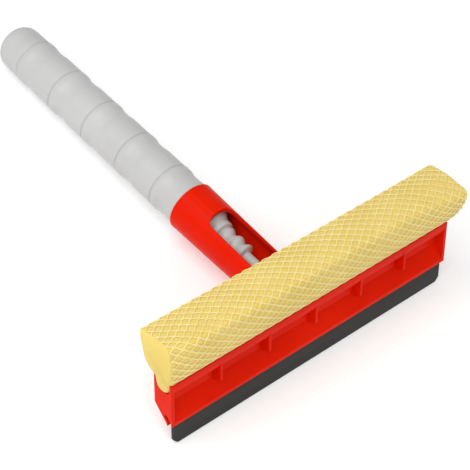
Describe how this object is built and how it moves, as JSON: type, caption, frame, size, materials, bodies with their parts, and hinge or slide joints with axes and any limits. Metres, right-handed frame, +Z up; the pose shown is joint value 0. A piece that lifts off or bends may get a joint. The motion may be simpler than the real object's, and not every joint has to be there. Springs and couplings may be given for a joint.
{
  "type": "window cleaning squeegee",
  "caption": "Window squeegee with a netted sponge on top, a slide-in rubber blade below and a ringed handle that screws into the head.",
  "frame": {"origin": "middle of the whole squeegee's box, on the ground plane it lies on", "axes": "+Z up, +X along the head, +Y from the head towards the handle's far end"},
  "size_m": [0.207, 0.2702, 0.0686],
  "materials": {
    "red_plastic": "moulded, satin gloss",
    "white_plastic": "moulded, satin",
    "black_rubber": "matt",
    "yellow_foam": "open-cell foam",
    "cream_net": "knitted mesh",
    "clear_glue": "hot-melt glue"
  },
  "bodies": {
    "head": {"head_frame": "red_plastic", "sponge": "yellow_foam", "net_cover": "cream_net", "adhesive_bead": "clear_glue"},
    "blade": {"rubber_blade": "black_rubber"},
    "handle": {"handle": "white_plastic"}
  },
  "joints": [
    {"name": "blade_slide", "type": "slide", "parent": "head", "child": "blade", "axis": [1, 0, 0], "range_m": [0, 0.2]},
    {"name": "handle_turn", "type": "hinge", "parent": "head", "child": "handle", "pos_m": [0, -0.12999, 0.02459], "axis": [0, 0.9991, -0.0428], "range_deg": [-30, 30]}
  ]
}
